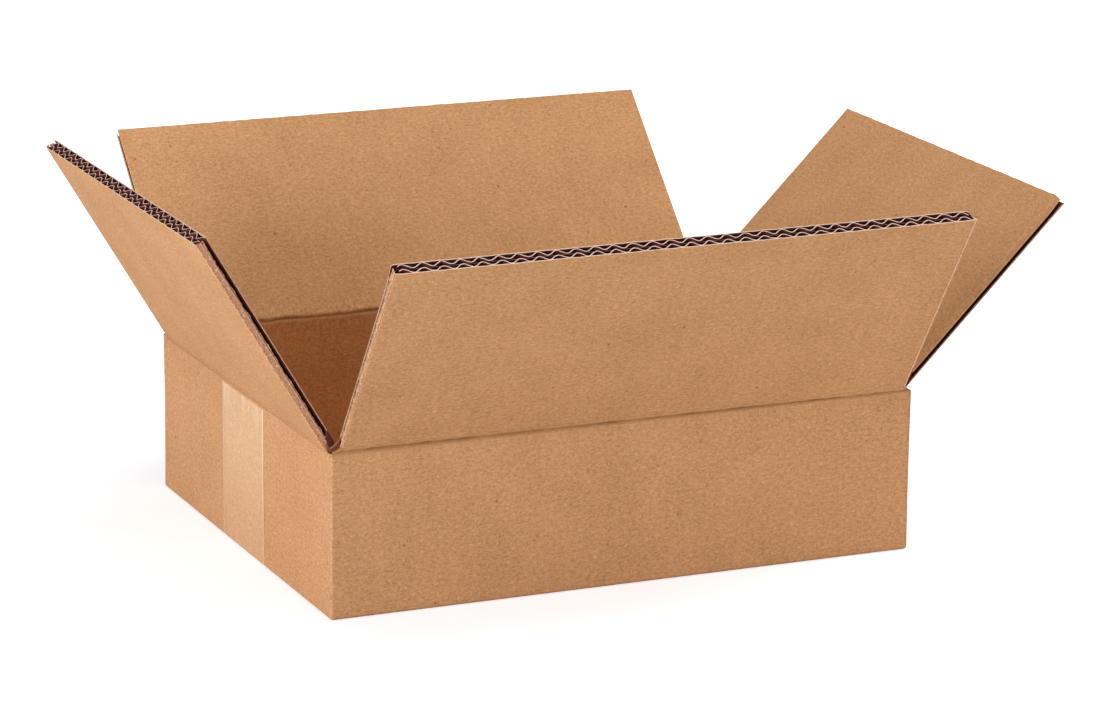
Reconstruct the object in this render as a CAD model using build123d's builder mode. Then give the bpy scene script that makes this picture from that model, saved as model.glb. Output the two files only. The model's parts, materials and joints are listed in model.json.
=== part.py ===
"""Shallow double-wall corrugated box, set up with its bottom taped and its four top flaps open.

The box is one folded blank, cut into separate pieces only at the four top scores where its
flaps swing, and one strip of tape that closes the bottom and runs up both ends.
X is the box's length, Y its width and Z is up. The origin is the middle of its base.
Sizes are millimetres and degrees.
"""

import os
from math import ceil, cos, radians, sin, tan

from build123d import *

# Box, outside
length = 252.0
width = 198.0
wall_height = 66.8  # base to the scores of the two end flaps
score_step = 0.8  # scores of the front and back flaps lie this much higher
flap_depth = 100.5  # every top and bottom flap, score to free edge
corner_radius = 1.2  # outside of the four upright folds
base_fold_radius = 1.0  # outside of the folds round the base

# Board: two fluted layers between three flat sheets
face_sheet = 0.6
middle_sheet = 0.5
fluted_sheet = 0.5
flute_gap = 1.8  # clear height of one fluted layer
flute_pitch = 7.8
glue_line = 1.3  # where the crest of a flute sits flat on its sheet
crown_share = 1 / 3  # how much of a channel's base its flatter crown covers
shoulder_share = 0.8  # how much of its height the flanks reach
board = 2 * face_sheet + middle_sheet + 2 * flute_gap

# Top flaps: how far each stands outward from upright
front_angle = 34.0
back_angle = 46.0
left_angle = 31.0
right_angle = 45.0
side_slot = 4.1  # front and back flaps stop this far inside the box's ends
slot_flare = 4.0  # height over which their edges curve out to the corner
flare_inset = 1.0
crushed_length = 12.0  # flutes are pressed shut this far from a score

# Clearances where the board is folded
fold_gap = 0.3  # between a flap and what it is folded past
layer_gap = 0.2  # between layers folded onto each other
score_gap = 0.2  # a wall's top edge lies this far under its score
flap_start = 0.15  # a flap's root starts this far above its score
seam_gap = 1.0  # between the two outer bottom flaps
side_score_depth = 3.2  # inner face of front and back walls pressed down at the score
side_root_length = 4.4  # and their flaps' inner faces pressed back

# Lap that joins the blank into a ring, inside the back right corner
lap_width = 30.0
lap_thickness = 3.0
lap_taper = 12.0
joint_line = 0.4  # gap beside the raw end of the back wall
joint_depth = 2.0

# Tape
tape_width = 48.0
tape_thickness = 0.2
tape_stop = 1.2  # it ends this far under the scores of the end flaps

side_height = wall_height + score_step
end_slot = board + fold_gap  # end flaps close between the front and back walls
half_length = length / 2
half_width = width / 2
floor_top = 2 * board + layer_gap


def flute_channels(across):
    """Sections of all the open channels in a flap's free edge, over the given width.

    A channel is a flat base on one sheet, two steep flanks and two flatter faces that meet over
    its middle. X runs along the edge and Y into the board from its outer face.
    """
    half_base = (flute_pitch - glue_line) / 2
    rise = flute_gap - fluted_sheet
    shoulder = half_base * crown_share
    shoulder_height = rise * shoulder_share
    with BuildSketch(mode=Mode.PRIVATE) as channel:
        with BuildLine():
            Polyline(
                (-half_base, 0),
                (-shoulder, shoulder_height),
                (0, rise),
                (shoulder, shoulder_height),
                (half_base, 0),
                close=True,
            )
        make_face()
    spread = ceil(across / 2 / flute_pitch)
    layers = (face_sheet, face_sheet + flute_gap + middle_sheet)
    under = [(i * flute_pitch, y) for i in range(-spread, spread + 1) for y in layers]
    over = [(x + flute_pitch / 2, y + flute_gap) for x, y in under]
    with BuildSketch(mode=Mode.PRIVATE) as channels:
        with Locations(*under):
            add(channel.sketch)
        with Locations(*over):
            add(channel.sketch, rotation=180)
    return channels.sketch


# Four walls, the folded bottom and the lap, all one blank
with BuildPart() as box_body:
    with BuildSketch():
        RectangleRounded(length, width, corner_radius)
        Rectangle(length - 2 * board, width - 2 * board, mode=Mode.SUBTRACT)
    extrude(amount=side_height - score_gap)

    # Outer bottom flaps, folded in from the front and back, meet along the middle
    side_panel = half_width - board - seam_gap / 2
    side_panel_middle = (side_panel + seam_gap) / 2
    with BuildSketch():
        with Locations((0, -side_panel_middle), (0, side_panel_middle)):
            Rectangle(length - 2 * board - 2 * fold_gap, side_panel)
    extrude(amount=board)

    # Inner bottom flaps, folded in from the ends, lie on the outer ones
    end_panel = flap_depth - board
    end_panel_middle = half_length - board - end_panel / 2
    with BuildSketch(Plane.XY.offset(board + layer_gap)):
        with Locations((-end_panel_middle, 0), (end_panel_middle, 0)):
            Rectangle(end_panel, width - 2 * board - 2 * fold_gap)
    extrude(amount=board)

    base_folds = box_body.faces().sort_by(Axis.Z)[0].outer_wire().edges()
    base_folds = base_folds.filter_by(GeomType.LINE)
    fillet(base_folds, radius=base_fold_radius)

    # End walls stop lower than the front and back ones
    with BuildSketch(Plane.XY.offset(wall_height - score_gap)):
        with Locations((-half_length, 0), (half_length, 0)):
            Rectangle(2 * board, width - 2 * board)
    extrude(amount=score_step + board, mode=Mode.SUBTRACT)

    # Tops of the walls are pressed down towards the inside, where the flaps fold
    for side in (-1, 1):
        with BuildSketch(Plane.XZ):
            with BuildLine():
                outer = (side * half_length, wall_height - score_gap)
                inner = (side * (half_length - board), wall_height - score_gap - board)
                Polyline(outer, inner, (inner[0], outer[1]), close=True)
            make_face()
        extrude(amount=half_width - board, both=True, mode=Mode.SUBTRACT)
        with BuildSketch(Plane.YZ):
            with BuildLine():
                outer = (side * half_width, side_height - score_gap)
                inner = (side * (half_width - board), outer[1] - side_score_depth)
                Polyline(outer, inner, (inner[0], outer[1]), close=True)
            make_face()
        extrude(amount=half_length, both=True, mode=Mode.SUBTRACT)

    # Lap of the right wall, glued to the inside of the back wall
    lap_root = half_length - board
    lap_low = floor_top + layer_gap
    lap_high = wall_height - score_gap - board - fold_gap
    lap_drop = lap_width * tan(radians(lap_taper))
    with BuildSketch(Plane.XZ.offset(board - half_width)):
        with BuildLine():
            Polyline(
                (lap_root, lap_low),
                (lap_root, lap_high),
                (lap_root - lap_width, lap_high - lap_drop),
                (lap_root - lap_width, lap_low + lap_drop),
                close=True,
            )
        make_face()
    extrude(amount=lap_thickness)

    # Raw end of the back wall shows as a fine upright line on the right
    with BuildSketch():
        with Locations((half_length - joint_depth / 2, half_width - board)):
            Rectangle(joint_depth, joint_line)
    extrude(amount=side_height, mode=Mode.SUBTRACT)

    # The board is pressed in by the tape's thickness along the bottom
    with BuildSketch(Plane.XZ):
        with Locations((0, tape_thickness - base_fold_radius)):
            Rectangle(length + 2 * board, 4 * base_fold_radius)
        with Locations((0, tape_thickness + 2 * base_fold_radius)):
            RectangleRounded(length, 4 * base_fold_radius, base_fold_radius, mode=Mode.SUBTRACT)
    extrude(amount=tape_width / 2, both=True, mode=Mode.SUBTRACT)

# One strip of tape along the bottom seam and up both ends
with BuildPart() as bottom_tape:
    tape_top = wall_height - tape_stop
    with BuildSketch(Plane.XZ):
        with BuildLine():
            outer_run = FilletPolyline(
                (-half_length - tape_thickness, tape_top),
                (-half_length - tape_thickness, 0),
                (half_length + tape_thickness, 0),
                (half_length + tape_thickness, tape_top),
                radius=base_fold_radius + tape_thickness,
            )
            inner_run = FilletPolyline(
                (-half_length, tape_top),
                (-half_length, tape_thickness),
                (half_length, tape_thickness),
                (half_length, tape_top),
                radius=base_fold_radius,
            )
            Line(outer_run @ 0, inner_run @ 0)
            Line(outer_run @ 1, inner_run @ 1)
        make_face()
    extrude(amount=tape_width / 2, both=True)

box_body.part.label = "box_body"
bottom_tape.part.label = "bottom_tape"
pieces = [box_body.part, bottom_tape.part]

# Top flaps: name, outward direction, score's distance and height, angle, width, slot and root
side_flap = (length - 2 * side_slot, side_slot, side_root_length)
end_flap = (width - 2 * end_slot, 0, board + flap_start)
flaps = [
    ("front_flap", Vector(0, -1, 0), half_width, side_height, front_angle, side_flap),
    ("back_flap", Vector(0, 1, 0), half_width, side_height, back_angle, side_flap),
    ("left_flap", Vector(-1, 0, 0), half_length, wall_height, left_angle, end_flap),
    ("right_flap", Vector(1, 0, 0), half_length, wall_height, right_angle, end_flap),
]

for name, outward, reach, height, angle, (across, slot, root_length) in flaps:
    along = Vector(0, 0, 1).cross(outward)
    rise = outward * sin(radians(angle)) + Vector(0, 0, 1) * cos(radians(angle))
    facing = outward * cos(radians(angle)) - Vector(0, 0, 1) * sin(radians(angle))
    score = outward * reach + Vector(0, 0, height)
    with BuildPart() as flap:
        # Outline, seen from outside, with the score along the bottom
        with BuildSketch(Plane(score, x_dir=along, z_dir=facing)):
            with Locations((0, flap_depth / 2)):
                Rectangle(across, flap_depth)
            if slot:
                spread = slot - flare_inset
                for side in (-1, 1):
                    with BuildLine():
                        foot = (side * (across / 2 + spread), 0)
                        head = (side * across / 2, slot_flare)
                        Line(head, (side * across / 2, 0))
                        Line((side * across / 2, 0), foot)
                        TangentArc(head, foot, tangent=(0, -1))
                    make_face()
        extrude(amount=-board)

        # Root, pressed back from the score towards the inside
        with BuildSketch(Plane(score, x_dir=rise, z_dir=along)):
            with BuildLine():
                Polyline(
                    (0, 0), (flap_start, 0), (root_length, -board), (0, -board), close=True
                )
            make_face()
        extrude(amount=across / 2 + slot, both=True, mode=Mode.SUBTRACT)

        # Open flutes, from the free edge down to where they are crushed
        with BuildSketch(Plane(score + rise * flap_depth, x_dir=along, z_dir=rise)):
            add(flute_channels(across))
        extrude(amount=crushed_length - flap_depth, mode=Mode.SUBTRACT)
    flap.part.label = name
    pieces.append(flap.part)

os.makedirs("parts", exist_ok=True)
for piece in pieces:
    export_step(piece, f"parts/{piece.label}.step")

# Hinge lines, for the record: they lie over the outer face of the wall
closed_rise = board + fold_gap - score_step
for name, outward, reach, height, angle, (across, slot, root_length) in flaps:
    lift = closed_rise / (1 + sin(radians(angle))) if slot else 0
    hinge = outward * reach + Vector(0, 0, height + lift)
    print(f"{name}: hinge through {tuple(hinge)}, closes {90 + angle} degrees from rest")
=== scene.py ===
"""Finished look of a shallow double-wall corrugated box, open, with its bottom taped shut.

Each part of the box is worked out as parametric sheets: two flat faces of paper, the fluted
paper between them, the folds where the flaps swing and the tape. Lengths are in metres.
"""

import json
from math import cos, pi, radians, sin

import bpy
import numpy as np
from mathutils import Matrix, Vector


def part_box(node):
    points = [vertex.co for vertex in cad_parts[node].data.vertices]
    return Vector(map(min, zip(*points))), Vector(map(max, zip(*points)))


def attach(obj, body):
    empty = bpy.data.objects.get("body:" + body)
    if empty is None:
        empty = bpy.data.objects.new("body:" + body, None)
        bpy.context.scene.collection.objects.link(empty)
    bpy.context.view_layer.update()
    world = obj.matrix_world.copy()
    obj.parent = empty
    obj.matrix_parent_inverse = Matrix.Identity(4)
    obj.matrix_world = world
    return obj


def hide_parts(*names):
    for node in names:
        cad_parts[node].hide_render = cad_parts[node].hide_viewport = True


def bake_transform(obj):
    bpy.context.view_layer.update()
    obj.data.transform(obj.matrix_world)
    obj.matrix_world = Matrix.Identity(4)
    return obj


bl_info = {
    "name": "Open Corrugated Box",
    "version": (1, 0, 0),
    "blender": (4, 5, 0),
    "location": "3D View > Sidebar > Box",
    "description": "Builds a double-wall corrugated box with its top flaps standing open",
    "category": "Add Mesh",
}

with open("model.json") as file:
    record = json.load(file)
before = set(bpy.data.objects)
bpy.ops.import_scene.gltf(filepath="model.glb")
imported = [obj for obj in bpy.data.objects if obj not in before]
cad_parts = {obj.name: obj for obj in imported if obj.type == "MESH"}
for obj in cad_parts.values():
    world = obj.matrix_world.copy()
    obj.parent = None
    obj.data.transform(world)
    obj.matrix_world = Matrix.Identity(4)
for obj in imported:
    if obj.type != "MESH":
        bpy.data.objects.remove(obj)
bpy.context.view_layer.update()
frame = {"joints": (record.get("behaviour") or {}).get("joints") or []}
MM = 0.001
FRAME_WIDTH = 1100  # pixels
LAMP_POWER = 10  # watts of a lamp of strength 1, a metre away
UP = np.array([0.0, 0.0, 1.0])

# Outer sizes and joints, as the frame has them
HALF_LENGTH, HALF_WIDTH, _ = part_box("box_body")[1]
TAPE_LOW, TAPE_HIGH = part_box("bottom_tape")
HINGES = {joint["child"]: joint for joint in frame["joints"]}

# Sides of the box: the way each faces
OUTWARD = {
    side: np.array([x, y, 0.0])
    for side, x, y in (("front", 0, -1), ("back", 0, 1), ("left", -1, 0), ("right", 1, 0))
}
SIDES = ("front", "back")
ENDS = ("left", "right")


def length_setting(name, description, default):
    """A length that can be changed, its default in millimetres."""
    return bpy.props.FloatProperty(name=name, description=description, default=default * MM, unit="LENGTH")


def angle_setting(name, description, default):
    """An angle that can be changed, its default in degrees."""
    return bpy.props.FloatProperty(
        name=name, description=description, default=radians(default), subtype="ANGLE"
    )


def colour_setting(name, description, default):
    """A colour that can be changed."""
    return bpy.props.FloatVectorProperty(
        name=name, description=description, default=default, subtype="COLOR"
    )


class BoardSettings(bpy.types.PropertyGroup):
    """Sizes and colours of the corrugated board."""

    thickness: length_setting("Thickness", "Whole board, face to face", 5.3)
    flute_pitch: length_setting("Flute pitch", "Crest to crest", 7.8)
    face_paper: length_setting("Face paper", "Thickness of the two faces", 0.36)
    fluted_paper: length_setting("Fluted paper", "Thickness of the waves", 0.36)
    middle_paper: length_setting("Middle paper", "Sheet between the two waves", 0.14)
    kraft: colour_setting("Kraft", "Colour of the faces", (0.546, 0.272, 0.118))
    cut: colour_setting("Cut paper", "Colour of fresh cuts", (0.83, 0.58, 0.45))
    scuff: colour_setting("Scuff", "Colour of torn and rubbed paper", (0.40, 0.195, 0.11))
    # Painted shade: a dark colour for the paper inside the board and within the flutes, which is kraft
    # brown and only lies in shade there
    inside: colour_setting("Inside", "Colour within the flutes", (0.11, 0.024, 0.019))


class FlapSettings(bpy.types.PropertyGroup):
    """Sizes of the flaps and of the folds at their roots."""

    depth: length_setting("Depth", "Score to free edge", 100.5)
    end_score: length_setting("End score", "Height of the end flaps' scores", 66.8)
    side_score: length_setting("Side score", "Height of the other two scores", 67.6)
    side_slot: length_setting("Side slot", "Front and back flaps stop this far in", 4.1)
    end_slot: length_setting("End slot", "End flaps stop this far in", 5.6)
    fold_reach: length_setting("Fold reach", "Outer face of a fold, each way from its score", 2.4)
    ripple: length_setting("Ripple", "Height of the flutes' print on the faces", 0.035)


class TapeSettings(bpy.types.PropertyGroup):
    """Size and colour of the tape."""

    thickness: length_setting("Thickness", "Film and glue", 0.08)
    wrinkle: length_setting("Wrinkle", "Height of the wrinkles", 0.05)
    colour: colour_setting("Colour", "Tape with the board seen through it", (0.635, 0.338, 0.150))


class StageSettings(bpy.types.PropertyGroup):
    """Camera, lamps and floor."""

    focal: bpy.props.FloatProperty(name="Focal length", description="In the frame's pixels", default=4520.9)
    azimuth: angle_setting("Azimuth", "Camera's turn round the box", -23.763)
    elevation: angle_setting("Elevation", "Camera's angle above the floor", 14.953)
    roll: angle_setting("Roll", "Camera's tilt about its own axis", 0.576)
    eye: bpy.props.FloatVectorProperty(
        name="Eye", description="Where the camera stands", default=(-0.71998, -1.65608, 0.55021),
        subtype="TRANSLATION",
    )
    key: bpy.props.FloatProperty(name="Key lamp", description="Strength from the left", default=0.67)
    sky: bpy.props.FloatProperty(name="Sky", description="Strength of the even light", default=0.25)
    floor: colour_setting("Floor", "Colour of the floor", (0.86, 0.86, 0.86))


def settings():
    """All the sizes and colours that can be changed."""
    return bpy.context.scene.open_box


class OpenBoxSettings(bpy.types.PropertyGroup):
    """Everything that can be changed about the box and its stage."""

    board: bpy.props.PointerProperty(name="Board", description="The board", type=BoardSettings)
    flaps: bpy.props.PointerProperty(name="Flaps", description="Flaps and folds", type=FlapSettings)
    tape: bpy.props.PointerProperty(name="Tape", description="The tape", type=TapeSettings)
    stage: bpy.props.PointerProperty(name="Stage", description="Camera and light", type=StageSettings)


class Value:
    """A number in a node tree, so that shader maths reads as plain arithmetic."""

    def __init__(self, nodes, socket):
        self.nodes, self.socket = nodes, socket

    def math(self, operation, *others, **options):
        """One Math node on this value and the others."""
        inputs = dict(enumerate((self, *others)))
        return self.nodes.node("ShaderNodeMath", {"operation": operation, **options}, inputs)

    def __add__(self, other):
        return self.math("ADD", other)

    def __sub__(self, other):
        return self.math("SUBTRACT", other)

    def __mul__(self, other):
        return self.math("MULTIPLY", other)

    def __rsub__(self, other):
        return self.nodes.node("ShaderNodeMath", {"operation": "SUBTRACT"}, {0: other, 1: self})

    __radd__, __rmul__ = __add__, __mul__

    def clamped(self):
        return self.math("ADD", 0.0, use_clamp=True)

    def over(self, low, high):
        """0 below low, 1 above high and a smooth step between them."""
        ramp = {"interpolation_type": "SMOOTHSTEP"}
        sockets = {"Value": self, "From Min": low, "From Max": high}
        return self.nodes.node("ShaderNodeMapRange", ramp, sockets, "Result")


class Nodes:
    """The node tree of a material or a world as it is built."""

    def __init__(self, owner):
        owner.use_nodes = True
        self.tree = owner.node_tree

    def node(self, kind, options=None, sockets=None, output=0):
        """Adds a node: its own options first, then what goes into its sockets."""
        node = self.tree.nodes.new(kind)
        for name, value in (options or {}).items():
            setattr(node, name, value)
        for name, value in (sockets or {}).items():
            self.feed(node.inputs[name], value)
        return Value(self, node.outputs[output])

    def feed(self, socket, value):
        """Links a value to a socket, or sets the socket to a plain number or colour."""
        if isinstance(value, Value):
            self.tree.links.new(value.socket, socket)
        elif hasattr(value, "__len__") and len(value) == 3 and socket.type == "RGBA":
            socket.default_value = (*value, 1)
        else:
            socket.default_value = value


class Finish(Nodes):
    """A material as it is built: its nodes, and the shader that they feed."""

    def __init__(self, name, specular):
        self.material = bpy.data.materials.new(name)
        super().__init__(self.material)
        self.shader = self.tree.nodes["Principled BSDF"]
        self.shader.inputs["Specular IOR Level"].default_value = specular

    def mix(self, share, first, second):
        """A colour between two others."""
        sockets = {"Factor": share, 6: first, 7: second}
        return self.node("ShaderNodeMix", {"data_type": "RGBA"}, sockets, 2)

    def attribute(self, name):
        return self.node("ShaderNodeAttribute", {"attribute_name": name}, output="Fac")

    def stretched(self, vector, scale, offset=(0, 0, 0)):
        """A vector scaled and shifted by a Mapping node."""
        return self.node("ShaderNodeMapping", {}, {"Vector": vector, "Scale": scale, "Location": offset})

    def noise(self, vector, scale, detail=2.0, roughness=0.5, distortion=0.0):
        sockets = {"Vector": vector, "Scale": scale, "Detail": detail}
        sockets.update({"Roughness": roughness, "Distortion": distortion})
        return self.node("ShaderNodeTexNoise", {}, sockets)

    def specks(self, vector, scale):
        """Distance to the nearest of scattered points, and that point's own chance number."""
        distance = self.node("ShaderNodeTexVoronoi", {}, {"Vector": vector, "Scale": scale}, "Distance")
        colour = Value(self, distance.socket.node.outputs["Color"])
        return distance, self.node("ShaderNodeSeparateColor", {}, {0: colour}, 0)

    def bump(self, height, strength, distance, below=None):
        sockets = {"Height": height, "Strength": strength, "Distance": distance}
        if below is not None:
            sockets["Normal"] = below
        return self.node("ShaderNodeBump", {}, sockets)

    def set(self, **sockets):
        """Feeds the shader; an underscore in a name stands for a space."""
        for name, value in sockets.items():
            self.feed(self.shader.inputs[name.replace("_", " ")], value)
        return self.material


def kraft_board():
    """Brown paper faces with fibres, flecks and the print of the flutes.

    The piece's own UV map gives metres round the box and along the flutes. Its attributes say where the
    paper is cut, where it lies inside the board and gets a dark painted shade, where it is scuffed, and
    where shade is painted along the scores, the walls' base, the raw end, the inner corners and the folds'
    ends. Scuffed paper is torn in shreds with a painted shadow along their rim, and rubbed pale where the
    wear is strongest. The flutes' print is drawn as faint lines of painted shade over a bump.
    """
    board = settings().board
    finish = Finish("brown_board", specular=0.1)

    def tint(*shares):
        """The faces' colour, each channel times its own share."""
        return tuple(np.array(board.kraft) * shares)

    # Clouds, fibres and the flutes' print over the whole paper; the print's lines are painted shade of the
    # flutes' ripple
    flat = finish.node("ShaderNodeUVMap", {"uv_map": "board"})
    fibre_space = finish.stretched(flat, (0.68, 1.0, 1.0))
    clouds = finish.noise(flat, 38, detail=3, roughness=0.55)
    blotches = finish.noise(fibre_space, 820, detail=2, roughness=0.7, distortion=0.5)
    fibres = finish.noise(fibre_space, 1700, detail=2, roughness=0.75)
    hairs = finish.noise(finish.stretched(flat, (0.16, 1.0, 1.0), (3, 7, 0)), 1100, detail=2)
    across = finish.node("ShaderNodeSeparateXYZ", {}, {0: flat}, 0)
    phase = across * (2 * pi / board.flute_pitch)
    flute_shade_lines = phase.math("COSINE") * (finish.noise(flat, 90, detail=1) - 0.25)

    tone = (clouds - 0.5) * 0.5 + (blotches - 0.5) * 1.7 + (fibres - 0.5) * 1.5
    tone = tone + (hairs - 0.5) * 0.3 + flute_shade_lines * 0.05 + 0.5
    colour = finish.mix(tone.clamped(), tint(0.72, 0.68, 0.62), tint(1.24, 1.27, 1.33))

    # Dark and pale flecks
    distance, chance = finish.specks(flat, 230)
    fleck = (1 - distance.over(0.04, 0.22)) * chance.over(0.93, 0.99)
    colour = finish.mix(fleck * 0.7, colour, tint(0.30, 0.22, 0.18))
    distance, chance = finish.specks(finish.stretched(flat, (0.5, 1.0, 1.0), (5, 2, 0)), 300)
    pale_fleck = (1 - distance.over(0.08, 0.22)) * chance.over(0.93, 0.95)
    colour = finish.mix(pale_fleck * 0.5, colour, tint(1.35, 1.5, 1.9))

    # Painted shade along the scores, the walls' base, the raw end, the inner corners and the folds' ends;
    # then wear
    pressed_and_shade = finish.attribute("pressed_and_shade") * (0.75 + blotches * 0.5)
    colour = finish.mix(pressed_and_shade.clamped(), colour, tint(0.46, 0.38, 0.30))
    worn = finish.attribute("scuffed")
    shreds = finish.noise(flat, 560, detail=3, roughness=0.75)
    scuffed = (worn + shreds * 1.5 - 1.25).over(0.0, 0.26)
    colour = finish.mix(scuffed, colour, tuple(board.scuff))
    # Painted shadow: a dark line along the rim of the scuffed patches
    rim_shadow = scuffed * (1 - scuffed) * 3.4
    colour = finish.mix(rim_shadow.clamped(), colour, tint(0.42, 0.32, 0.26))
    rubbed = (worn + shreds * 1.2).over(1.62, 1.75)
    colour = finish.mix(rubbed, colour, tint(1.32, 1.55, 1.95))
    # Small holes in the worn face, painted in the dark shade of the board's inside
    hole_shade = worn.over(0.35, 0.6) * finish.noise(flat, 1400, detail=1).over(0.60, 0.65)
    colour = finish.mix(hole_shade * 0.85, colour, tuple(np.array(board.inside) * 1.5))

    # Painted shade within the flutes and on the paper inside the board, and where the paper is freshly cut
    colour = finish.mix(finish.attribute("inside"), colour, tuple(board.inside))
    cut_tone = finish.mix(fibres, tuple(np.array(board.cut) * 0.8), tuple(board.cut))
    colour = finish.mix(finish.attribute("cut"), colour, cut_tone)

    height = fibres * 0.5 + blotches * 0.5 + scuffed * -0.8
    normal = finish.bump(height, 0.9, 0.12 * MM)
    normal = finish.bump(phase.math("COSINE"), 0.5, 0.02 * MM, below=normal)
    return finish.set(Base_Color=colour, Roughness=0.76 + blotches * 0.14, Normal=normal)


def board_material():
    """The board's one material, made when it is first asked for."""
    return bpy.data.materials.get("brown_board") or kraft_board()


def packing_tape():
    """Clear film on brown paper: blotches where its glue lifts, fine streaks and a soft gloss.

    It is pale where it stands off the paper and along its edges, where the pale is a painted highlight, and
    nearly vanishes where its attribute says that it is pressed down.
    """
    finish = Finish("clear_tape", specular=0.45)
    flat = finish.node("ShaderNodeUVMap", {"uv_map": "board"})
    clouds = finish.noise(flat, 60, detail=2)
    lifted = finish.noise(flat, 620, detail=3, roughness=0.65, distortion=1.2)
    streaks = finish.noise(finish.stretched(flat, (1.0, 0.03, 1.0)), 1000, detail=1)
    fibres = finish.noise(flat, 1500, detail=2, roughness=0.65)
    base, kraft = np.array(settings().tape.colour), np.array(settings().board.kraft)
    # Colours where the glue has lifted: in blotches, in bubbles, and a painted highlight along the edges
    blotch, bubble, edge = (0.90, 0.60, 0.34), (0.84, 0.52, 0.27), (0.93, 0.70, 0.48)
    pressed_and_shade = (finish.attribute("pressed_and_shade") + (clouds - 0.5) * 0.8).over(0.2, 0.9)
    colour = finish.mix(pressed_and_shade * 0.8, tuple(base), tuple(kraft * 1.04))
    tone = (clouds - 0.5) * 0.4 + (lifted - 0.5) * 1.8 + (fibres - 0.5) * 1.6
    colour = finish.mix((tone * -0.9).clamped(), colour, tuple(base * 0.5))
    colour = finish.mix((tone * 0.9).clamped(), colour, blotch)
    bubbles = (lifted + (fibres - 0.5) * 0.3).over(0.55, 0.60) * (1 - pressed_and_shade)
    colour = finish.mix(bubbles * 0.35, colour, bubble)
    # Painted highlight along the tape's edges, with pale streaks at its ends
    pale = finish.attribute("scuffed") * (0.6 + streaks * 0.8)
    colour = finish.mix(pale.clamped(), colour, edge)
    normal = finish.bump(lifted * 0.6 + streaks * 0.4, 0.6, 0.06 * MM)
    return finish.set(Base_Color=colour, Roughness=0.32 + bubbles * 0.25 + streaks * 0.1, Normal=normal)


def rough_line(places, spacing, seed):
    """A smooth chance line from -1 to 1: random heights every spacing, joined by cosine steps."""
    steps = (np.asarray(places) - np.min(places)) / spacing
    cell = np.floor(steps).astype(int)
    heights = np.random.default_rng(seed).uniform(-1, 1, int(cell.max()) + 2)
    ease = (1 - np.cos(pi * (steps - cell))) / 2
    return heights[cell] * (1 - ease) + heights[cell + 1] * ease


def rough_lines(places, seed, *parts):
    """Rough lines added up: each part is a spacing and a height, and takes the next seed."""
    return sum(height * rough_line(places, gap, seed + i) for i, (gap, height) in enumerate(parts))


def bell(distance, width):
    """A bell curve: 1 at no distance, and e to the minus one at the given width."""
    return np.exp(-((distance / width) ** 2))


def flat_map(u, v):
    """The map's two coordinates on one grid."""
    return np.stack(np.broadcast_arrays(u, v), axis=-1)


# Extra columns stand this far from a cut edge
EDGE_STEPS = np.array([0.04, 0.12, 0.3, 0.6, 1.0, 1.4, 1.6, 1.8, 2.1, 2.5]) * MM
# The back of a sheet uses another stretch of the map than its front
BACK_SHIFT = (0.37, 1.0)


def shares_along(count, half_width):
    """Shares from -1 to 1 of a half width, evenly spread, with more of them close to the ends."""
    near = EDGE_STEPS / half_width
    return np.unique(np.concatenate([np.linspace(-1, 1, count), near - 1, 1 - near]))[None, :]


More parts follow.
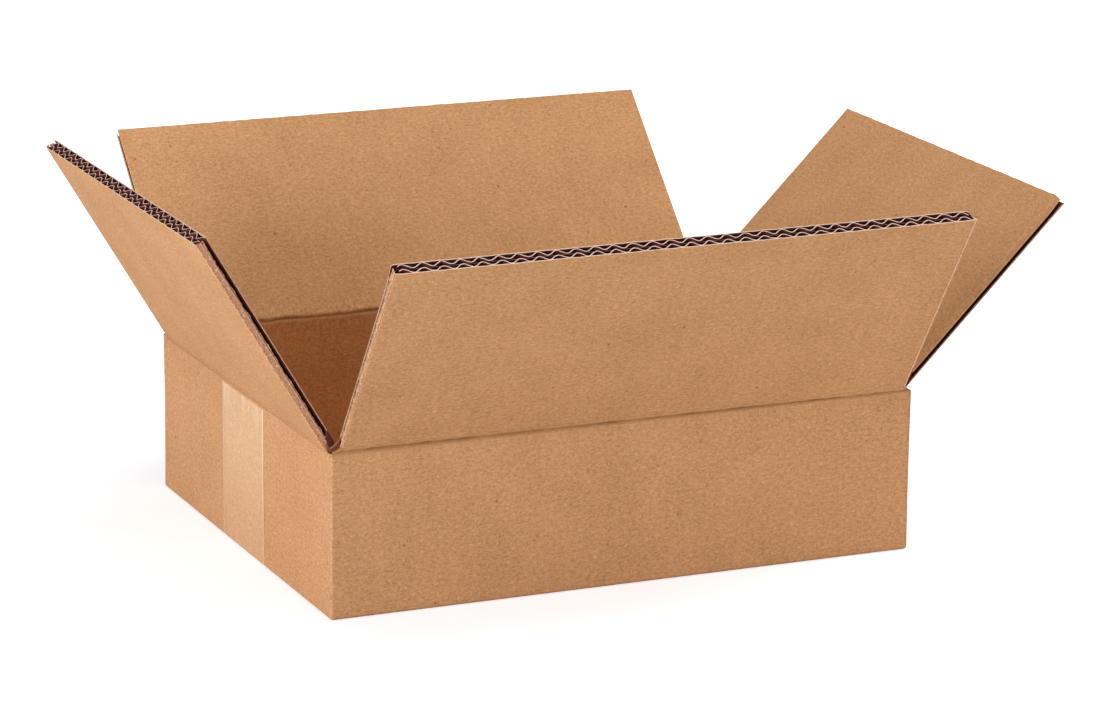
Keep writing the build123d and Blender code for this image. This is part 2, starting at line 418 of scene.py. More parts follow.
class Sheets:
    """Closed sheets gathered into one mesh, with what their material needs to know."""

    def __init__(self):
        self.points, self.faces, self.maps = [], [], []
        self.marks = {"cut": [], "inside": [], "scuffed": [], "pressed_and_shade": []}
        self.count = 0

    def add(self, front, back, flat, cut, inside=(0, 0, 0), scuffed=(0, 0), pressed_and_shade=(0, 0), wrap=False):
        """One sheet between two grids of points, rows by columns, closed by strips round its rim.

        Rows run up the sheet and columns along it, so that along x up points to the front. With
        wrap, the last column joins the first. flat holds the map's two coordinates on the grid.
        cut is how freshly cut the rim is, or that of its bottom, top, first and last strip. The next three
        say how deep inside the board the front, the back and an uncut rim lie, which sets how much dark
        painted shade they get; how far the front and the back are worn, which on the tape marks a painted
        highlight along its edges; and how far they are pressed down, which on the board instead sets how
        much shade is painted along scores, the base, corners and fold ends.
        """
        rows, columns = front.shape[:2]
        number = np.arange(rows * columns).reshape(rows, columns)
        place = np.indices((rows, flat.shape[1])).reshape(2, rows, -1)
        if wrap:
            number = np.concatenate([number, number[:, :1]], axis=1)
        behind = number + rows * columns

        def quads(first, second, third, fourth):
            return np.stack([part.ravel() for part in (first, second, third, fourth)], axis=1)

        def corners(grid):
            return grid[:-1, :-1], grid[:-1, 1:], grid[1:, 1:], grid[1:, :-1]

        def rim(outer, inner):
            return quads(outer[:-1], inner[:-1], inner[1:], outer[1:])

        index = place[0] * flat.shape[1] + place[1]
        walk = [(number[0], behind[0], index[0]), (number[-1, ::-1], behind[-1, ::-1], index[-1, ::-1])]
        if not wrap:
            walk.append((number[::-1, 0], behind[::-1, 0], index[::-1, 0]))
            walk.append((number[:, -1], behind[:, -1], index[:, -1]))
        faces = [quads(*corners(number)), quads(*corners(behind))[:, ::-1]]
        faces += [rim(outer, inner) for outer, inner, _ in walk]
        places = [quads(*corners(index)), quads(*corners(index))[:, ::-1]]
        places += [rim(line, line) for _, _, line in walk]
        counts = [len(part) for part in faces]

        self.faces.append(np.concatenate(faces) + self.count)
        self.maps.append(flat.reshape(-1, 2)[np.concatenate(places)])
        self.maps[-1][counts[0] : 2 * counts[0]] += BACK_SHIFT
        fresh = np.broadcast_to(cut, 4)[: len(walk)]
        self.marks["cut"].append(np.repeat([0, 0, *fresh], counts))
        self.marks["inside"].append(np.repeat([*inside[:2], *(inside[2] * (1 - fresh))], counts))
        for label, pair in (("scuffed", scuffed), ("pressed_and_shade", pressed_and_shade)):
            self.marks[label] += [np.broadcast_to(one, (rows, columns)).ravel() for one in pair]
        self.points.append(np.concatenate([front.reshape(-1, 3), back.reshape(-1, 3)]))
        self.count += 2 * rows * columns

    def finish(self, name, sharp=40, material=None):
        """The mesh object, of board unless told, smooth but for edges sharper than the angle."""
        points, faces = np.concatenate(self.points), np.concatenate(self.faces)
        mesh = bpy.data.meshes.new(name)
        mesh.vertices.add(len(points))
        mesh.vertices.foreach_set("co", points.astype(np.float32).ravel())
        mesh.loops.add(faces.size)
        mesh.loops.foreach_set("vertex_index", faces.astype(np.int32).ravel())
        mesh.polygons.add(len(faces))
        mesh.polygons.foreach_set("loop_start", np.arange(0, faces.size, 4, dtype=np.int32))
        mesh.uv_layers.new(name="board").uv.foreach_set(
            "vector", np.concatenate(self.maps).astype(np.float32).ravel()
        )
        for label, parts in self.marks.items():
            domain = "FACE" if label in ("cut", "inside") else "POINT"
            values = np.concatenate(parts).astype(np.float32)
            mesh.attributes.new(label, "FLOAT", domain).data.foreach_set("value", values)
        mesh.update(calc_edges=True)
        mesh.validate()
        mesh.polygons.foreach_set("use_smooth", np.ones(len(faces), bool))
        mesh.set_sharp_from_angle(angle=radians(sharp))
        mesh.materials.append(material or board_material())
        piece = bpy.data.objects.new(name, mesh)
        bpy.context.scene.collection.objects.link(piece)
        return piece


def rounded(distance, width):
    """Height from 0 to 1 beside a rounded edge: a quarter of an ellipse, done at the given width."""
    return np.sqrt(1 - (1 - np.clip(distance / width, 0, 1)) ** 2)


class Panel:
    """A flat stretch of board: where its root lies, and the ways along, up and into it."""

    def __init__(self, root, along, rise):
        self.root, self.along, self.rise = (np.asarray(part, float) for part in (root, along, rise))
        self.inward = -np.cross(self.along, self.rise)

    def place(self, a, s, n):
        """Points from distances along the root, up from it and in from the outer face."""
        a, s, n = np.broadcast_arrays(a, s, n)
        return self.root + a[..., None] * self.along + s[..., None] * self.rise + n[..., None] * self.inward


def flap_panel(side):
    """The panel of a top flap, with its lean from upright taken from its joint's closing travel."""
    flaps, outward = settings().flaps, OUTWARD[side]
    lean = radians(-HINGES[f"{side}_flap"]["range_deg"][0] - 90)
    reach = HALF_WIDTH if side in SIDES else HALF_LENGTH
    height = flaps.side_score if side in SIDES else flaps.end_score
    root = outward * reach + UP * height
    return Panel(root, np.cross(UP, outward), outward * sin(lean) + UP * cos(lean)), lean


def half_width_at(side, s):
    """Half a top flap's width at a distance s up from its root.

    A side flap flares out over its lowest 4 mm, along a circle's arc, to 1 mm from the box's end.
    """
    flaps = settings().flaps
    if side in ENDS:
        return np.full_like(s, HALF_WIDTH - flaps.end_slot)
    spread, height = flaps.side_slot - 1.0 * MM, 4.0 * MM
    radius = (spread**2 + height**2) / (2 * spread)
    lift = np.clip(height - s, 0, height)
    return HALF_LENGTH - flaps.side_slot + radius - np.sqrt(radius**2 - lift**2)


def wave(across, lag, seed, pitch):
    """Height from 0 to 1 of the flutes: a cosine whose phase drifts a little from flute to flute."""
    drift = rough_lines(across, seed, (2.3 * pitch, 0.35), (0.7 * pitch, 0.12))
    return (1 - np.cos(2 * pi * (across / pitch + lag) + drift)) / 2


def rolled(beside, amount, reach, lip=0.0):
    """How far a face is pressed in at a distance beside its edge: a quarter of an ellipse.

    It starts at reach and is done where the flat lip begins.
    """
    near = np.clip((reach - beside) / (reach - lip), 0, 1)
    return amount * (1 - np.sqrt(1 - near**2))


def torn_paper(sheets, panel, half_width, start, depth, side, edge, seed):
    """Torn paper in the gap along a slotted edge, from the outer face's rim to a ragged end.

    Its rows are 0.45 mm apart. It lies 0.1 to 0.5 mm inside the edge, by two rough lines
    multiplied together, and its end wavers by two more.
    """
    thick = settings().board.thickness
    low, high = edge["outer"][0] * MM, thick - edge["inner"][0] * MM
    s = np.arange(start, depth - 0.2 * MM, 0.45 * MM)
    waver = rough_lines(s, seed, (0.6 * MM, 0.15), (4.0 * MM, 0.2))
    end = low + (high - low) * np.clip(edge["torn"] * (1 + waver), 0.05, 1)
    share = np.linspace(0, 1, 6)[:: int(side)]
    n = low + (end - low)[:, None] * share[None, :]
    lumps = np.outer(rough_line(s, 0.8 * MM, seed + 2), rough_line(share, 0.3, seed + 3))
    pale = 0.5 + 0.5 * rough_line(s, 1.3 * MM, seed + 4)[:, None] + 0.5 * lumps
    a = side * (half_width(s)[:, None] - (0.3 + 0.2 * lumps) * MM)
    s = s[:, None]
    flat = flat_map(n + 5, s + 1)
    front, back = panel.place(a, s, n), panel.place(a - side * 0.25 * MM, s, n)
    sheets.add(front, back, flat, cut=0.7, scuffed=(pale, 0.0))


def layered_board(sheets, panel, half_width, root, depth, look):
    """Double-wall board as five closed sheets, rows from the root to the free edge.

    A point lies at a across, s up and n deep. a is the half width at its row times a share from
    -1 to 1. s runs from the root line, which drops linearly from outer to inner face, to the
    free edge. High powers of a row's share keep what is ragged to that edge. The two fluted
    sheets follow the wave between the flat ones. Beside a cut, each face rolls in where the knife
    pressed it.
    """
    board = settings().board
    thick, face, middle = board.thickness, board.face_paper, board.middle_paper
    gap = (thick - 2 * face - middle) / 2
    swing, half_paper = gap - board.fluted_paper, board.fluted_paper / 2
    seed, lag, ripple = look["seed"], look["lag"], look["ripple"]
    # Rows are even, and closer and closer over the last 3 percent
    steps = np.linspace(0, 1, look["rows"])
    steps = np.concatenate([steps[:-1] * 0.97, 1 - 0.03 * (1 - np.linspace(0, 1, 4)) ** 1.6])[:, None]
    width = 2 * np.max(half_width(np.array([depth])))
    share = shares_along(int(width / look["column"]) + 1, width / 2)
    centre = share[0] * width / 2
    sides = ((-1, look["edges"]["left"]), (1, look["edges"]["right"]))

    def spots(n, shares, shave=0.0):
        """Distances a and s for one sheet, with n its depth."""
        start = root[0] + (root[1] - root[0]) * n / thick
        s = start + (depth - shave - start) * steps
        return np.broadcast_arrays(shares * half_width(s), s)

    def press(name, side, edge, a, s):
        """How far a face is rolled in beside one cut edge, less towards the free edge's corner."""
        kept = 1 - (1 - edge["corner"]) * bell(depth - s, 5 * MM)
        return kept * rolled(half_width(s) - side * a, *np.multiply(edge[name], MM))

    def edge_wear(a, s):
        """Wear on a face beside its cut edges."""
        worn = np.clip(1 - (depth - s) / (0.35 * MM), 0, 1) * 0.45
        for side, edge in sides:
            strength, reach = edge["worn"]
            beside = np.clip(1 - (half_width(s) - side * a) / (reach * MM), 0, 1)
            worn = np.maximum(worn, beside * strength)
        return worn

    # Outer and inner face
    wobble = rough_lines(centre, seed + 2, (3.1 * MM, 0.10 * MM), (0.9 * MM, 0.06 * MM))
    # The sides of each face that lie inside the board get the dark painted shade
    for name, low, inward, shaded_faces in (
        ("outer", 0.0, 1, (0, 1, 0)),
        ("inner", thick - face, -1, (1, 0, 0)),
    ):
        a, s = spots(low, share)
        s = s - steps**40 * wobble * inward
        flutes = ripple * (1 + np.cos(2 * pi * (a / board.flute_pitch + lag)))
        left, right = (press(name, side, edge, a, s) for side, edge in sides)
        n = low + (left + right + flutes) * inward
        flat = flat_map(a - left + right + look["u"], s + look["v"])
        worn = edge_wear(a, s)
        worn = (worn, 0 * worn) if name == "outer" else (0 * worn, worn)
        front, back = panel.place(a, s, n), panel.place(a, s, n + face)
        sheets.add(front, back, flat, inside=shaded_faces, cut=(1, look["fresh"], 0.3, 0.3), scuffed=worn)

    # Middle sheet, set back from the cut
    kept = 1 - look["set_back"] / (width / 2)
    low = face + gap
    a, s = spots(low, np.linspace(-1, 1, 41)[None, :] * kept, shave=0.6 * MM)
    flat = flat_map(a + look["u"], s + look["v"])
    front, back = panel.place(a, s, low), panel.place(a, s, low + middle)
    # The middle sheet lies inside the board and gets the dark painted shade, but for its cut
    sheets.add(front, back, flat, inside=(1, 1, 1), cut=(0, 0.15, 0, 0))

    # The two fluted sheets, offset each way along the wave's own normal, with fewer rows
    columns = int(width / board.flute_pitch * look["segments"]) + 1
    share = np.linspace(-1, 1, columns)[None, :] * kept
    few = np.unique(np.append(steps[:: look["skip"]], 1.0))[:, None]
    few = np.insert(few, -1, 0.995, axis=0)
    for layer, low in enumerate((face + half_paper, face + gap + middle + half_paper)):
        start = root[0] + (root[1] - root[0]) * (low + gap / 2) / thick
        s = start + (depth - start) * few
        a = share * half_width(s)
        across = a[-1]
        line = wave(across, lag, seed + 20 + layer, board.flute_pitch) * swing
        line = line[None, :] + few**30 * rough_line(across, 2.0 * MM, seed + 30 + layer) * 0.10 * MM
        slope = np.gradient(line[-1], across)
        lean = 1 / np.sqrt(1 + slope**2)
        aside, through = -slope * lean * half_paper, lean * half_paper
        s = s + few**40 * (rough_line(across, 1.2 * MM, seed + 40 + layer) * 0.12 - 0.1) * MM
        flat = flat_map(a, s + 3 + layer)
        front = panel.place(a - aside, s, low + line - through)
        back = panel.place(a + aside, s, low + line + through)
        # The fluted sheets get the dark painted shade within the flutes, but for their cut
        sheets.add(front, back, flat, inside=(1, 1, 1), cut=(0, look["fresh"], 0, 0))

    for number, (side, edge) in enumerate(sides):
        if edge["torn"]:
            torn_paper(sheets, panel, half_width, sum(root) / 2, depth, side, edge, seed + 60 + 10 * number)


# Places round the walls, from the back right corner the way the blank is folded
ROUND = ("back", "left", "front", "right")
CORNER = 1.2 * MM  # outside of the upright folds
# Rows of a fold, closest beside its meeting line, and how far its inner face reaches
FOLD_STEPS = np.array([0.02, 0.05, 0.09, 0.14, 0.2, 0.28, 0.38, 0.5, 0.65, 0.8, 1.0])
FOLD_ROWS = np.concatenate([-FOLD_STEPS[::-1], [0], FOLD_STEPS])[:, None]
INNER_FOLD = {"front": 5.2 * MM, "back": 5.2 * MM, "left": 7.0 * MM, "right": 7.0 * MM}
LOW = 0.15 * MM  # the board stands this far up, on its tape


def middle_of(side):
    """How far round the walls the middle of a side lies."""
    arc = pi / 2 * CORNER
    spans = {name: 2 * (HALF_LENGTH if name in SIDES else HALF_WIDTH) - 2 * CORNER for name in OUTWARD}
    walked = 0.0
    for name in ROUND:
        if name == side:
            return walked + spans[name] / 2
        walked += spans[name] + arc


def cut_edge(outer, inner, torn, worn, corner):
    """A slotted edge as the knife left it, in millimetres.

    outer and inner say how deep and how far in each face rolls there, and how wide a flat lip it
    leaves, torn how much of the gap between them torn paper fills, worn how strongly and how far
    in the faces are worn, and corner what share of the rolls is left at the free edge's corner.
    """
    return {"outer": outer, "inner": inner, "torn": torn, "worn": worn, "corner": corner}


# The slotted edges of each flap, seen from outside, and how its free edge differs from the rest
EDGES = {
    "front": {
        "left": cut_edge((0.9, 0.5), (1.9, 1.6), torn=0.95, worn=(1.1, 0.45), corner=0.3),
        "right": cut_edge((0.05, 0.5), (4.3, 2.5, 1.5), torn=0.0, worn=(4.0, 1.2), corner=1.0),
    },
    "back": {
        "left": cut_edge((1.6, 1.3), (0.4, 0.8), torn=0.5, worn=(0.4, 1.0), corner=0.6),
        "right": cut_edge((3.0, 1.4), (0.3, 0.4), torn=0.0, worn=(0.2, 1.0), corner=1.0),
    },
    "left": {
        "left": cut_edge((2.0, 1.3), (0.4, 0.8), torn=0.6, worn=(0.4, 1.0), corner=0.6),
        "right": cut_edge((2.2, 1.3), (0.1, 0.5), torn=0.36, worn=(1.0, 1.0), corner=0.8),
    },
    "right": {
        "left": cut_edge((0.3, 0.6), (2.6, 1.2), torn=0.12, worn=(0.3, 0.8), corner=0.8),
        "right": cut_edge((2.0, 1.3), (0.4, 0.8), torn=0.5, worn=(0.4, 1.0), corner=0.6),
    },
}
PLAIN = cut_edge((0, 1), (0, 1), torn=0, worn=(0, 1), corner=1)
FREE_EDGES = {"front": {"set_back": 2.4 * MM}, "left": {"fresh": 0.6}}


def look_of(side, **changes):
    """What layered_board needs to know about a side's board, with changes.

    column, rows, segments and skip set how fine the mesh is, lag and seed where the flutes lie
    and how they waver, u and v where the map starts, set_back how far the hidden sheets stop
    inside the cut, and fresh how pale the cut of the free edge is.
    """
    flaps, board = settings().flaps, settings().board
    around = middle_of(side)
    look = {
        "seed": 100 * (1 + list(OUTWARD).index(side)),
        "lag": around / board.flute_pitch,
        "u": around,
        "v": flaps.side_score if side in SIDES else flaps.end_score,
        "rows": 34,
        "column": 1.0 * MM,
        "segments": 22,
        "skip": 6,
        "set_back": 0.3 * MM,
        "ripple": flaps.ripple,
        "fresh": 1.0,
        "edges": {"left": PLAIN, "right": PLAIN},
    }
    return {**look, **changes}


def make_flap(side):
    """A top flap, from the end of its fold to its open free edge, flared beside the slots."""
    flaps = settings().flaps
    panel, _ = flap_panel(side)
    sheets = Sheets()
    root = (flaps.fold_reach, INNER_FOLD[side])
    look = look_of(side, **{"edges": EDGES[side], "set_back": 1.4 * MM, **FREE_EDGES.get(side, {})})
    layered_board(sheets, panel, lambda s: half_width_at(side, s), root, flaps.depth - 0.2 * MM, look)
    piece = sheets.finish(f"{side}_flap_board")
    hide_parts(f"{side}_flap")
    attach(piece, f"{side}_flap")


def make_fold(side):
    """The fold between a wall and its flap, one skin round the pressed board.

    Each row is a share from the wall, -1, to the flap, 1. At each depth the wall's and the flap's
    planes meet where half the lean's tangent times the depth puts them. A groove in the shape of
    a bell curve runs along the meeting line, and the slotted ends are pinched as the flap is.
    """
    flaps, board = settings().flaps, settings().board
    panel, lean = flap_panel(side)
    wall = Panel(panel.root, panel.along, UP)
    rows, reach = FOLD_ROWS, half_width_at(side, np.zeros(1))[0]
    share = shares_along(int(2 * reach / (1.1 * MM)), reach)
    seed = 900 + 10 * list(OUTWARD).index(side)
    waver = rough_lines(share[0] * reach, seed, (9 * MM, 0.6), (2.5 * MM, 0.4))
    # The score's depth and spread in millimetres, how unsteady it is and how much shade is painted along
    # it. The end folds are pressed in far enough inside for the front and back flaps to close past them.
    if side in SIDES:
        outer_score, inner_score = (0.34, 0.85 - 0.25 * share, 0.45, 0.72), (0.7, 0.65, 0.45, 0.95)
    else:
        outer_score, inner_score = (0.19, 0.47 - 0.14 * share, 0.45, 0.4), (1.9, 1.6, 0.1, 0.8)
    grids, fold_shade = [], []
    for name, length, depth, inward, (dip, spread, unsteady, score_shade) in (
        ("outer", flaps.fold_reach, 0.0, 1, outer_score),
        ("inner", INNER_FOLD[side], board.thickness, -1, inner_score),
    ):
        half = half_width_at(side, np.maximum(rows * length, 0))
        a = share * half
        pinch = sum(
            rolled(half - way * a, *np.multiply(EDGES[side][end][name], MM))
            for way, end in ((-1, "left"), (1, "right"))
        )
        shape = bell(rows * length / MM - waver * 0.25, spread) * (1 + unsteady * waver)
        pinch = pinch * np.clip((rows + 1) / 0.8, 0, 1)
        n = depth + inward * (shape * dip * MM + pinch)
        meet = n * np.tan(lean / 2)
        on_wall = wall.place(a, rows * length + (1 + rows) * meet, n)
        on_flap = panel.place(a, rows * length - (1 - rows) * meet, n)
        grids.append(np.where((rows < 0)[..., None], on_wall, on_flap))
        # Painted shade along the score's groove, and a painted shadow at the fold's slotted ends, deep
        # between the flaps' edges
        end = 1.6 * MM if name == "inner" else 0.35 * MM
        fold_shade.append(np.maximum(shape * score_shade, bell(half - np.abs(a), end)))
    flat = flat_map(share * reach + middle_of(side), rows * 3.6 * MM + look_of(side)["v"])
    sheets = Sheets()
    # The fold's uncut ends also get the dark painted shade of the board's inside
    sheets.add(grids[0], grids[1], flat, inside=(0, 0, 1), cut=0, pressed_and_shade=tuple(fold_shade))
    piece = sheets.finish(f"{side}_fold", sharp=70)
    middle = UP * cos(lean / 2) + OUTWARD[side] * sin(lean / 2)
    span = flaps.fold_reach * cos(lean / 2)
    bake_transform(piece)


def wall_columns():
    """The walls' columns, in the order of ROUND: arrays of what is known about each.

    A column's outer point runs round a rounded rectangle and its inner point round a smaller
    one. Its top stops where a flap's fold takes over, and stands higher beside the slots.
    """
    flaps, thick = settings().flaps, settings().board.thickness
    inner_bend = 0.15 * MM
    turned = np.linspace(0, pi / 2, 6)[1:-1, None]
    parts = {name: [] for name in ("outer", "inner", "top", "inner_top", "around", "joint")}
    for side in ROUND:
        outward, along = OUTWARD[side], np.cross(UP, OUTWARD[side])
        reach, half = (HALF_WIDTH, HALF_LENGTH) if side in SIDES else (HALF_LENGTH, HALF_WIDTH)
        score = flaps.side_score if side in SIDES else flaps.end_score
        straight, hold = half - CORNER, half - thick - 2 * inner_bend
        slot = half_width_at(side, np.zeros(1))[0] + 0.1 * MM if side in ENDS else half
        raw_edge = half - thick if side == "right" else 0.0
        # Extra columns at both sides of a step in the top, and across the raw end's groove
        extra = [-hold, hold]
        if side in ENDS:
            extra += [sign * slot + step for sign in (-1, 1) for step in (-0.01 * MM, 0.01 * MM)]
        if raw_edge:
            extra += [raw_edge + step * MM for step in (-0.4, -0.2, -0.1, 0, 0.1, 0.2, 0.4)]
        a = np.unique(np.append(np.linspace(-straight, straight, int(2 * straight / (1.3 * MM))), extra))
        beyond = np.clip(np.abs(a) - hold, 0, None) / (straight - hold)
        inner_a = np.sign(a) * (np.minimum(np.abs(a), hold) + beyond * inner_bend)

        def bend(radius, inset):
            middle = along * (half - inset - radius) + outward * (reach - inset - radius)
            return middle + radius * (outward * np.cos(turned) + along * np.sin(turned))

        corner_top = np.full(len(turned), flaps.side_score - 0.3 * MM)
        under = np.abs(a) < slot
        inner_high = score if side in SIDES else np.where(under, score, flaps.side_score)
        parts["outer"] += [a[:, None] * along + outward * reach, bend(CORNER, 0)]
        parts["inner"] += [inner_a[:, None] * along + outward * (reach - thick), bend(inner_bend, thick)]
        parts["top"] += [np.where(under, score - flaps.fold_reach, corner_top[0]), corner_top]
        parts["inner_top"] += [inner_high - np.where(under, INNER_FOLD[side], INNER_FOLD["front"])]
        parts["inner_top"] += [corner_top + 0.3 * MM - INNER_FOLD["front"]]
        parts["around"] += [a + middle_of(side), middle_of(side) + straight + turned[:, 0] * CORNER]
        groove = bell(a - raw_edge, 0.14 * MM) * bool(raw_edge)
        parts["joint"] += [groove, np.zeros(len(turned))]
    return {name: np.concatenate(part) for name, part in parts.items()}


def make_walls():
    """The four walls as one ring with rounded upright folds, closed along its top and bottom.

    Going up, the outer face leaves the base along a quarter circle. The flutes print through it
    as a cosine, and it sinks a little in the middle of its height. The blank's raw end shows as
    a fine groove.
    """
    flaps, board = settings().flaps, settings().board
    thick, fold_radius = board.thickness, 1.3 * MM
    columns = wall_columns()
    outer, inner, around, joint = (columns[name] for name in ("outer", "inner", "around", "joint"))
    low_rows = LOW + fold_radius * np.array([[0, 0.06, 0.2, 0.4, 0.7, 1.0]]).T
    shares = np.append(np.linspace(0, 0.9, 15)[1:], [0.94, 0.97, 0.985, 1])[:, None]

    def heights(top):
        return np.concatenate([low_rows + 0 * top, low_rows[-1] + shares * (top - low_rows[-1])])

    outer_z, inner_z = heights(columns["top"]), heights(columns["inner_top"])
    below = np.clip(fold_radius + LOW - outer_z, 0, fold_radius)
    ripple = flaps.ripple * (1 + np.cos(2 * pi * around / board.flute_pitch))
    ridge = rough_line(around, 25 * MM, 51) * rough_line(around, 11 * MM, 52) * 0.12 * MM
    sunk = fold_radius - np.sqrt(fold_radius**2 - below**2) + joint * 1.1 * MM
    sunk = sunk + ripple * np.clip(outer_z / (3 * MM), 0, 1)
    sunk = sunk + np.sin(pi * np.clip(outer_z / columns["top"], 0, 1)) * (0.16 * MM + ridge)
    # Each column's outward way, from the nearest point of a box smaller by the corners' radius
    corner = np.array([HALF_LENGTH, HALF_WIDTH, 0])
    out = outer - np.clip(outer, CORNER - corner, corner - CORNER)
    out[:, 2] = 0
    out = out / np.linalg.norm(out, axis=1)[:, None]
    outer_grid = outer - out * sunk[..., None] + UP * outer_z[..., None]
    inner_grid = inner - out * (ripple * 0.8)[:, None] + UP * inner_z[..., None]

    # Shade along the base, the raw end and inside the corners
    to_inner_corner = np.linalg.norm((np.abs(inner) - corner + thick)[:, :2], axis=1)
    shade = 0.25 * bell(outer_z - LOW, 0.8 * MM) + joint * 0.9
    inner_shade = 0.5 * bell(to_inner_corner, 1.2 * MM)
    lap_round = around[0] + 2 * pi * CORNER + 4 * (HALF_LENGTH + HALF_WIDTH - 2 * CORNER)
    u, v = np.append(around, lap_round), np.append(outer_z, outer_z[:, :1], axis=1)
    sheets = Sheets()
    sheets.add(outer_grid, inner_grid, flat_map(u, v), cut=0.5, pressed_and_shade=(shade, inner_shade), wrap=True)
    own_box_piece(sheets.finish("walls", sharp=60), "box_body")


def own_box_piece(piece, node):
    """Makes a piece stand for a node of the box and move with it."""
    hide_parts(node)
    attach(piece, "box")


def make_bottom(side):
    """A bottom flap: outer ones from front and back, and inner ones lying on them from the ends."""
    thick, outward = settings().board.thickness, OUTWARD[side]
    if side in SIDES:
        reach, span, height = HALF_WIDTH - thick, HALF_LENGTH - thick, LOW
        depth = reach - 0.5 * MM
    else:
        reach, span, height = HALF_LENGTH - thick, HALF_WIDTH - thick, thick + 0.2 * MM
        depth = settings().flaps.depth - thick
    panel = Panel(outward * reach + UP * height, np.cross(outward, UP), -outward)
    half_width = span - 0.3 * MM
    look = look_of(side, rows=10, column=2.6 * MM, segments=16, skip=4, v=-0.3)
    look["lag"] += 0.37  # out of step with the walls
    sheets = Sheets()
    layered_board(sheets, panel, lambda s: np.full_like(s, half_width), (0, 0), depth, look)
    own_box_piece(sheets.finish(f"{side}_bottom_flap"), "box_body")


def make_lap():
    """The glued lap inside the back right corner, its free edge pressed down to a rounded lip.

    Its ends taper from its root at 12 degrees. Beside the free edge and the ends it thins from
    its full depth to a quarter of it, along quarters of ellipses.
    """
    thick = settings().board.thickness
    long, deep, taper = 30 * MM, 3 * MM, np.tan(radians(12))
    root, back = HALF_LENGTH - thick, HALF_WIDTH - thick
    low, high = 2 * thick + 0.4 * MM, settings().flaps.end_score - thick - 0.5 * MM
    share = np.concatenate([[0, 0.008, 0.02, 0.04, 0.07], np.linspace(0.1, 1, 24)])[None, :]
    rows = np.linspace(0, 1, 30)[:, None]
    x = root - long * (1 - share)
    slope = (root - x) * taper
    z = low + slope + (high - low - 2 * slope) * rows
    x = x + (1 - share) ** 30 * rough_line(rows[:, 0], 0.05, 71)[:, None] * 0.2 * MM
    lip = rounded(x - root + long, 1.5 * MM)
    ends = rounded(np.minimum(rows, 1 - rows) * (high - low), 1.2 * MM)
    depth = (0.25 + 0.75 * np.minimum(lip, ends)) * deep
    x = np.broadcast_to(x, depth.shape)
    front = np.stack([x, back - depth, z], axis=-1)
    behind = np.stack([x, np.full_like(x, back - 0.02 * MM), z], axis=-1)
    sheets = Sheets()
    sheets.add(front, behind, flat_map(x + 0.2, z), cut=0.8, scuffed=(1.1 * (1 - lip * ends), 0.0))
    own_box_piece(sheets.finish("glued_lap"), "box_body")


def make_tape():
    """One strip of tape, down the left end, under the box and up the right one.

    Its line is three straight runs and two quarter circles. It stands off the board by its own
    thickness and by fine wrinkles: rough lines along and across it, multiplied together.
    """
    tape = settings().tape
    bend, top = 1.35 * MM, TAPE_HIGH[2]
    angles = np.linspace(0, pi / 2, 7)
    down = np.linspace(top, bend + LOW, 60)[:-1]
    under = np.linspace(bend - HALF_LENGTH, 0, 80)[1:]
    x = np.concatenate([0 * down - HALF_LENGTH, bend * (1 - np.cos(angles)) - HALF_LENGTH, under])
    z = np.concatenate([down, LOW + bend * (1 - np.sin(angles)), 0 * under + LOW])
    facing = np.concatenate([0 * down, angles, 0 * under + pi / 2])
    x, z = np.append(x, -x[-2::-1]), np.append(z, z[-2::-1])
    facing = np.append(facing, pi - facing[-2::-1])
    run = np.append(0, np.cumsum(np.hypot(np.diff(x), np.diff(z))))
    y = np.linspace(TAPE_LOW[1], TAPE_HIGH[1], 80)
    coarse = np.outer(rough_line(run, 3.5 * MM, 81), rough_line(y, 2.3 * MM, 82))
    fine = np.outer(rough_line(run, 1.6 * MM, 83), rough_line(y, 1.1 * MM, 84))
    stand = tape.thickness + tape.wrinkle * (0.5 + 0.3 * coarse + 0.2 * fine)
    to_edge = np.minimum(y - y[0], y[-1] - y)
    stand = np.minimum(stand, LOW - 0.02 * MM) * (0.2 + 0.8 * np.clip(to_edge / (0.9 * MM), 0, 1))
    normal = np.stack([-np.cos(facing), 0 * facing, -np.sin(facing)], axis=-1)[:, None]
    base = np.stack(np.broadcast_arrays(x[:, None], y, z[:, None]), axis=-1)
    flat = flat_map(y + 0.6, -run[:, None])

    # Pale along its edges, a painted highlight that is strongest at its front edge, and in streaks at its
    # ends; pressed down towards the base and one edge
    rim = bell(y - y[0], 0.7 * MM) + 0.35 * bell(y - y[-1], 0.5 * MM)
    to_end = np.minimum(run, run[-1] - run)[:, None]
    streaks = bell(to_end, 8 * MM) * np.clip(rough_line(y, 1.7 * MM, 85), 0, 1)
    foot = np.clip(1 - z / (50 * MM), 0, 1)[:, None]
    pale = 0.9 * rim * (1 - 0.7 * foot) + 0.28 * streaks
    pressed_and_shade = np.maximum(foot, 0.75 * bell(y - y[-1], 6 * MM))
    sheets = Sheets()
    front, back = base + normal * stand[..., None], base + normal * 0.005 * MM
    sheets.add(front, back, flat, cut=0, scuffed=(pale, 0.0), pressed_and_shade=(pressed_and_shade, 0.0))
    piece = sheets.finish("tape_strip", material=packing_tape())
    own_box_piece(piece, "bottom_tape")


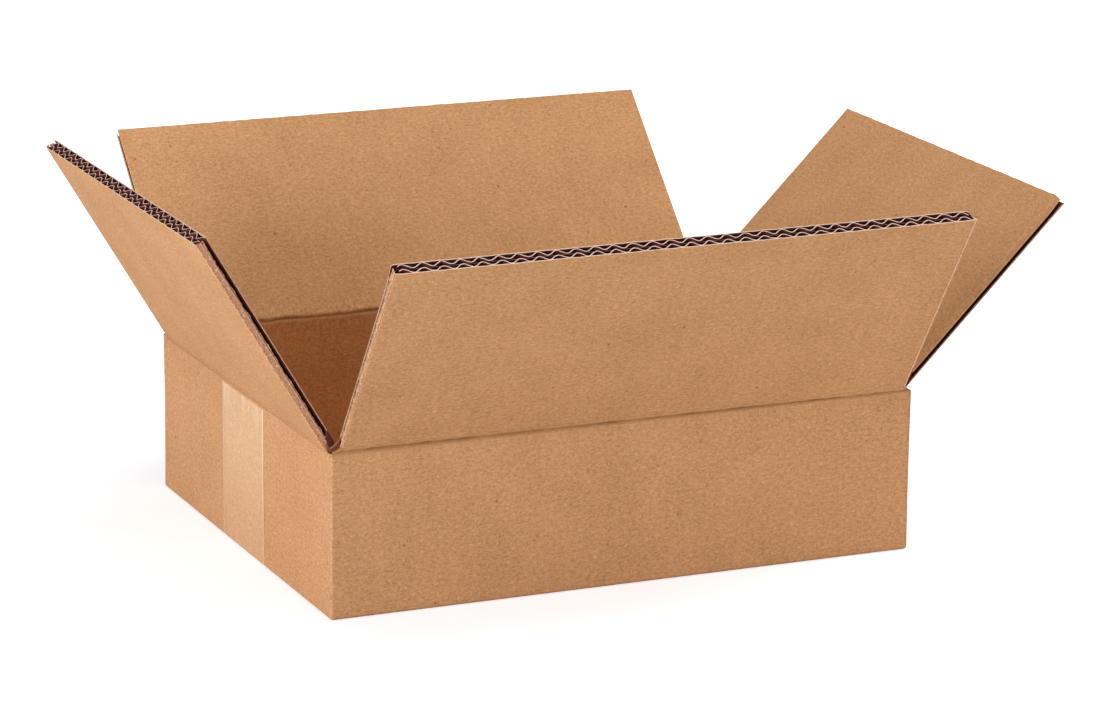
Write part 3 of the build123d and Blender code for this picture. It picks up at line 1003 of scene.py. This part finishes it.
def make_stage():
    """Pale floor, white surroundings, soft lamps and the camera."""
    stage = settings().stage
    scene = bpy.context.scene
    floor = bpy.data.meshes.new("floor")
    spread = 12.0
    ways = ((-1, -1), (1, -1), (1, 1), (-1, 1))
    floor.from_pydata([(x * spread, y * spread, 0) for x, y in ways], [], [(0, 1, 2, 3)])
    ground = bpy.data.objects.new("floor", floor)
    scene.collection.objects.link(ground)
    # The floor glows for the camera alone, as white as its surroundings but for the shadow
    finish = Finish("pale_floor", specular=0.0)
    seen = finish.node("ShaderNodeLightPath", output="Is Camera Ray")
    glow = finish.mix(seen, (0.0, 0.0, 0.0), (0.50, 0.50, 0.50))
    finish.set(Base_Color=tuple(stage.floor), Roughness=0.9)
    finish.set(Emission_Color=glow, Emission_Strength=1.0)
    floor.materials.append(finish.material)

    # The surroundings are white to the camera and in reflections, and dimmer as a light
    scene.world = bpy.data.worlds.new("surroundings")
    nodes = Nodes(scene.world)
    mirrored = nodes.node("ShaderNodeLightPath", output="Is Glossy Ray")
    seen = nodes.node("ShaderNodeLightPath", output="Is Camera Ray").math("MAXIMUM", mirrored)
    sockets = {"Value": seen, "To Min": stage.sky, "To Max": 1.0}
    background = nodes.tree.nodes["Background"].inputs
    nodes.feed(background["Strength"], nodes.node("ShaderNodeMapRange", {}, sockets, "Result"))
    nodes.feed(background["Color"], (1, 1, 1))

    # Each lamp's name, place, size, share of the key lamp's strength and colour
    for name, place, size, share, colour in (
        ("key", (-1.6, -0.75, 0.42), 0.9, 1.24, (1.0, 1.09, 1.27)),
        ("front", (0.35, -1.8, 0.56), 0.9, 0.20, (1.0, 1.0, 1.0)),
        ("over", (0.2, 0.1, 2.0), 1.4, 0.30, (0.88, 1.05, 1.12)),
        ("over_right", (1.2, 0.15, 1.6), 1.2, 0.90, (0.97, 1.0, 0.99)),
    ):
        lamp = bpy.data.lights.new(name, "AREA")
        lamp.size, lamp.color = size, colour
        lamp.energy = stage.key * share * LAMP_POWER * Vector(place).length_squared
        lit = bpy.data.objects.new(name, lamp)
        lit.location = place
        lit.rotation_euler = (-Vector(place)).to_track_quat("-Z", "Y").to_euler()
        scene.collection.objects.link(lit)

    camera = bpy.data.cameras.new("camera")
    camera.sensor_width = 36.0
    camera.lens = stage.focal / FRAME_WIDTH * camera.sensor_width
    seat = bpy.data.objects.new("camera", camera)
    # A camera looks straight down until it is turned, raised and tilted
    turn = Matrix.Translation(stage.eye)
    for angle, axis in ((stage.azimuth, "Z"), (pi / 2 - stage.elevation, "X"), (stage.roll, "Z")):
        turn = turn @ Matrix.Rotation(angle, 4, axis)
    seat.matrix_world = turn
    camera.clip_start, camera.clip_end = 0.05, 50
    scene.collection.objects.link(seat)
    scene.camera = seat
    scene.view_settings.view_transform = "Standard"


class OPENBOX_OT_walls(bpy.types.Operator):
    """Builds the four walls and the glued lap inside them"""

    bl_idname = "openbox.walls"
    bl_label = "Walls"

    def execute(self, context):
        make_walls()
        make_lap()
        return {"FINISHED"}


class OPENBOX_OT_bottom(bpy.types.Operator):
    """Builds the four folded bottom flaps"""

    bl_idname = "openbox.bottom"
    bl_label = "Bottom flaps"

    def execute(self, context):
        for side in OUTWARD:
            make_bottom(side)
        return {"FINISHED"}


class OPENBOX_OT_flaps(bpy.types.Operator):
    """Builds the four top flaps with their open flutes"""

    bl_idname = "openbox.flaps"
    bl_label = "Top flaps"

    def execute(self, context):
        for side in OUTWARD:
            make_flap(side)
        return {"FINISHED"}


class OPENBOX_OT_folds(bpy.types.Operator):
    """Builds the folds where the top flaps swing"""

    bl_idname = "openbox.folds"
    bl_label = "Folds"

    def execute(self, context):
        for side in OUTWARD:
            make_fold(side)
        return {"FINISHED"}


class OPENBOX_OT_tape(bpy.types.Operator):
    """Builds the strip of tape that closes the bottom"""

    bl_idname = "openbox.tape"
    bl_label = "Tape"

    def execute(self, context):
        make_tape()
        return {"FINISHED"}


class OPENBOX_OT_stage(bpy.types.Operator):
    """Sets up the floor, the lamps and the camera"""

    bl_idname = "openbox.stage"
    bl_label = "Stage"

    def execute(self, context):
        make_stage()
        return {"FINISHED"}


STEPS = (
    OPENBOX_OT_walls, OPENBOX_OT_bottom, OPENBOX_OT_flaps,
    OPENBOX_OT_folds, OPENBOX_OT_tape, OPENBOX_OT_stage,
)


class OPENBOX_PT_panel(bpy.types.Panel):
    """Lists the steps that build the box, with their sizes and colours"""

    bl_idname = "OPENBOX_PT_panel"
    bl_label = "Open box"
    bl_space_type = "VIEW_3D"
    bl_region_type = "UI"
    bl_category = "Box"

    def draw(self, context):
        for step in STEPS:
            self.layout.operator(step.bl_idname)
        for group in (settings().board, settings().flaps, settings().tape, settings().stage):
            column = self.layout.column(align=True)
            for name in group.bl_rna.properties.keys():
                if name not in ("rna_type", "name"):
                    column.prop(group, name)


CLASSES = (
    BoardSettings, FlapSettings, TapeSettings, StageSettings, OpenBoxSettings,
    *STEPS, OPENBOX_PT_panel,
)


def register():
    for each in CLASSES:
        bpy.utils.register_class(each)
    bpy.types.Scene.open_box = bpy.props.PointerProperty(
        name="Open box", description="Sizes and colours of the box", type=OpenBoxSettings
    )


def unregister():
    del bpy.types.Scene.open_box
    for each in reversed(CLASSES):
        bpy.utils.unregister_class(each)


def main():
    """Builds everything in order."""
    register()
    bpy.ops.openbox.walls()
    bpy.ops.openbox.bottom()
    bpy.ops.openbox.flaps()
    bpy.ops.openbox.folds()
    bpy.ops.openbox.tape()
    bpy.ops.openbox.stage()


if __name__ == "__main__":
    main()
